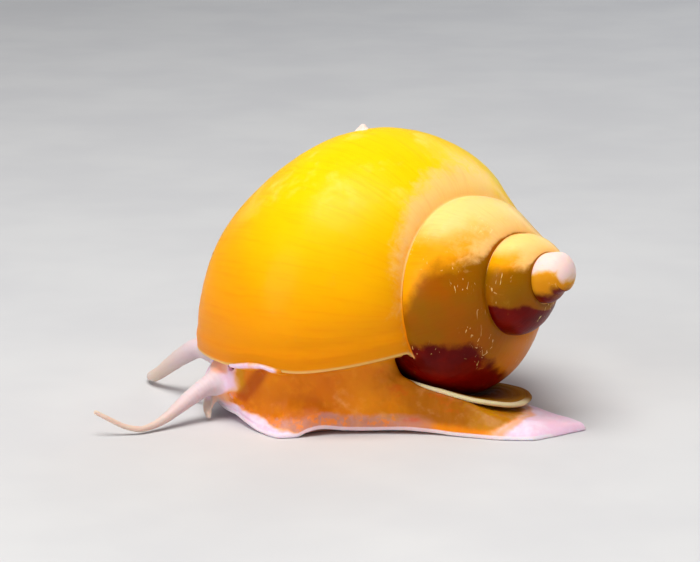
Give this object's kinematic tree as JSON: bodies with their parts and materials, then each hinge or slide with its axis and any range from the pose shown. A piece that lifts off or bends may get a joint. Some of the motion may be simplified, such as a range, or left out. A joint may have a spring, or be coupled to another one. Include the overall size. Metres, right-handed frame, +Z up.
{
  "type": "apple snail",
  "caption": "Life-size freshwater apple snail crawling on its broad foot, with a round golden shell, short spire, slender tentacles, stalked eyes, siphon and a horny operculum.",
  "frame": {"origin": "on the floor, at the plan centre of the whole animal's box", "axes": "-X towards the head, +X towards the tail and the spire, -Y the animal's left, +Z up"},
  "size_m": [0.0512, 0.0282, 0.0298],
  "materials": {
    "shell": "glossy, slightly translucent, golden yellow with pale bands",
    "foot_skin": "moist amber skin",
    "pale_skin": "moist pinkish white skin",
    "mantle_skin": "moist olive amber skin",
    "operculum_horn": "dark brown horn with a pale rim",
    "eye_dark": "wet black"
  },
  "bodies": {
    "root": {"shell": "shell", "operculum": "operculum_horn", "foot_front": "pale_skin", "foot_middle": "foot_skin", "foot_tail": "pale_skin", "body_stalk": "foot_skin", "mantle": "mantle_skin", "neck": "foot_skin", "head": "pale_skin", "snout": "pale_skin", "tentacle_left_base": "pale_skin", "tentacle_left_middle": "pale_skin", "tentacle_left_tip": "pale_skin", "tentacle_right_base": "pale_skin", "tentacle_right_middle": "pale_skin", "tentacle_right_tip": "pale_skin", "eye_stalk_left": "pale_skin", "eye_stalk_right": "pale_skin", "eye_left": "eye_dark", "eye_right": "eye_dark", "labial_palp_left": "pale_skin", "labial_palp_right": "pale_skin", "siphon": "mantle_skin"}
  },
  "joints": []
}
